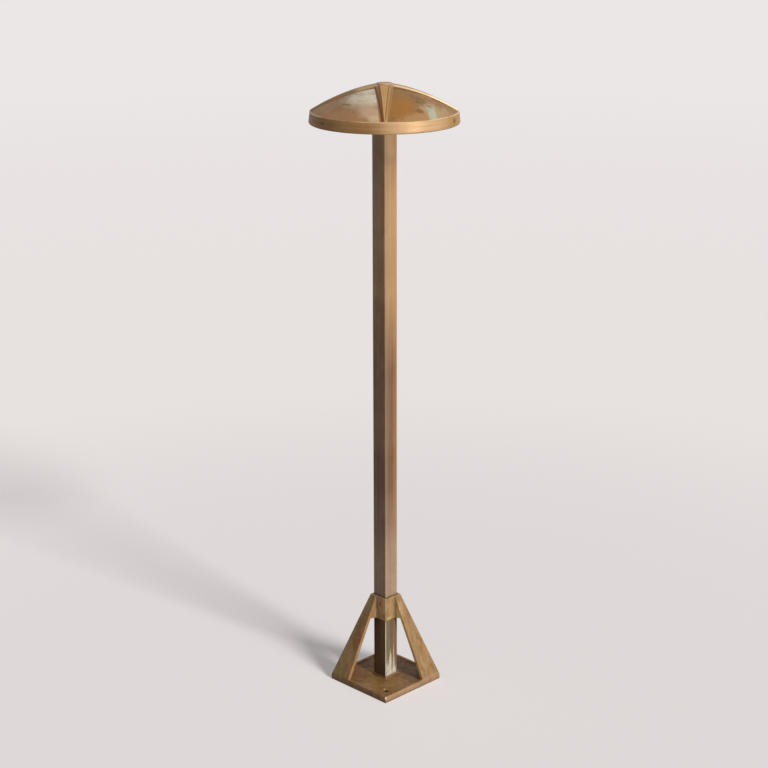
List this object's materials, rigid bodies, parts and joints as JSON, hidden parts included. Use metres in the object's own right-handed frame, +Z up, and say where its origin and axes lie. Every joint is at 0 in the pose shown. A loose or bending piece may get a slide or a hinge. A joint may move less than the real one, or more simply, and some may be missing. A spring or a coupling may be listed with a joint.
{
  "type": "garden post light",
  "caption": "Garden post light: ribbed shallow round hat on a tall square post, held by a collar on a square base with flanged pyramid legs.",
  "frame": {"origin": "centre of the base plate's underside, on the post's axis", "axes": "+Z up along the post; the base's sides lie along X and Y, with legs at the +X+Y and -X-Y corners"},
  "size_m": [0.2178, 0.2178, 0.9364],
  "materials": {
    "hat_bronze": "cast, tan-brown patina with pale green-grey patches",
    "base_bronze": "cast, brown patina",
    "post_bronze": "drawn tube, brown patina with mineral streaks at the foot",
    "head_bronze": "cast, brown patina",
    "bezel_bronze": "turned, brown patina",
    "tray_aluminium": "turned, satin",
    "frosted_glass": "frosted",
    "board_white": "white solder mask",
    "lamp_chips": "phosphor yellow",
    "black_components": "moulded black",
    "connector_nylon": "natural nylon",
    "cable_jacket": "matt black jacket",
    "core_red": "red insulation",
    "core_black": "black insulation",
    "tie_nylon": "black nylon",
    "seal_rubber": "matt black",
    "stainless_screws": "stainless, dulled"
  },
  "bodies": {
    "stand": {"base_casting": "base_bronze", "base_grommet": "seal_rubber", "bezel_screws": "stainless_screws", "board_connector": "connector_nylon", "board_electronics": "black_components", "board_screws": "stainless_screws", "cable_tie": "tie_nylon", "diffuser_lens": "frosted_glass", "head_bolts": "stainless_screws", "head_gasket": "seal_rubber", "head_grommet": "seal_rubber", "head_washers": "stainless_screws", "inner_gasket": "seal_rubber", "lamp_tray": "tray_aluminium", "led_board": "board_white", "led_chips": "lamp_chips", "lens_bezel": "bezel_bronze", "outer_gasket": "seal_rubber", "post_head": "head_bronze", "post_tube": "post_bronze", "supply_cable": "cable_jacket", "supply_core_black": "core_black", "supply_core_red": "core_red"},
    "hat": {"hat": "hat_bronze"},
    "rim_screw_right": {"rim_screw_right": "stainless_screws"},
    "rim_screw_rear": {"rim_screw_rear": "stainless_screws"},
    "rim_screw_left": {"rim_screw_left": "stainless_screws"},
    "collar_screw_front": {"collar_screw_front": "stainless_screws"},
    "collar_screw_rear": {"collar_screw_rear": "stainless_screws"},
    "head_screw_front": {"head_screw_front": "stainless_screws"},
    "head_screw_rear": {"head_screw_rear": "stainless_screws"}
  },
  "joints": [
    {"name": "hat_lift", "type": "slide", "parent": "stand", "child": "hat", "axis": [0, 0, 1], "range_m": [0, 0.04]},
    {"name": "rim_screw_right_turn_out", "type": "slide", "parent": "hat", "child": "rim_screw_right", "axis": [0.9336, 0.3584, 0], "range_m": [0, 0.006]},
    {"name": "rim_screw_rear_turn_out", "type": "slide", "parent": "hat", "child": "rim_screw_rear", "axis": [-0.7771, 0.6293, 0], "range_m": [0, 0.006]},
    {"name": "rim_screw_left_turn_out", "type": "slide", "parent": "hat", "child": "rim_screw_left", "axis": [-0.1564, -0.9877, 0], "range_m": [0, 0.006]},
    {"name": "collar_screw_front_turn_out", "type": "slide", "parent": "stand", "child": "collar_screw_front", "axis": [0, -1, 0], "range_m": [0, 0.0028]},
    {"name": "collar_screw_rear_turn_out", "type": "slide", "parent": "stand", "child": "collar_screw_rear", "axis": [0, 1, 0], "range_m": [0, 0.0028]},
    {"name": "head_screw_front_turn_out", "type": "slide", "parent": "stand", "child": "head_screw_front", "axis": [0, -1, 0], "range_m": [0, 0.0038]},
    {"name": "head_screw_rear_turn_out", "type": "slide", "parent": "stand", "child": "head_screw_rear", "axis": [0, 1, 0], "range_m": [0, 0.0038]}
  ]
}
